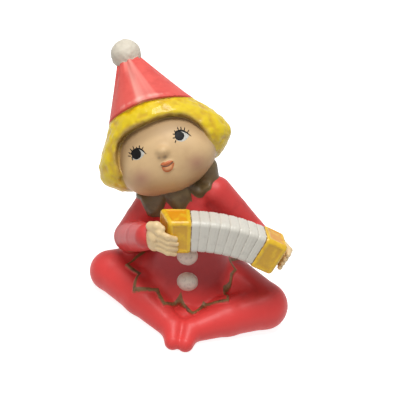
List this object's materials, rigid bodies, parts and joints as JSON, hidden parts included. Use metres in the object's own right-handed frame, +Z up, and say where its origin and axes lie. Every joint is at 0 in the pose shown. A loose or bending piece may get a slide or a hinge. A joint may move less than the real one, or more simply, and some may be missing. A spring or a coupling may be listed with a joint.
{
  "type": "elf figurine",
  "caption": "Seated cross-legged elf ornament in painted ceramic, with a cone hat, a bobbed wig and a small accordion across its lap.",
  "frame": {"origin": "on the resting plane, under the middle of the seat, on the flat underside", "axes": "+Z up, the figurine faces -Y, +X to the right of a viewer in front of it"},
  "size_m": [0.1103, 0.0934, 0.1201],
  "materials": {
    "painted_ceramic": "satin"
  },
  "bodies": {
    "root": {"figurine": "painted_ceramic"}
  },
  "joints": []
}
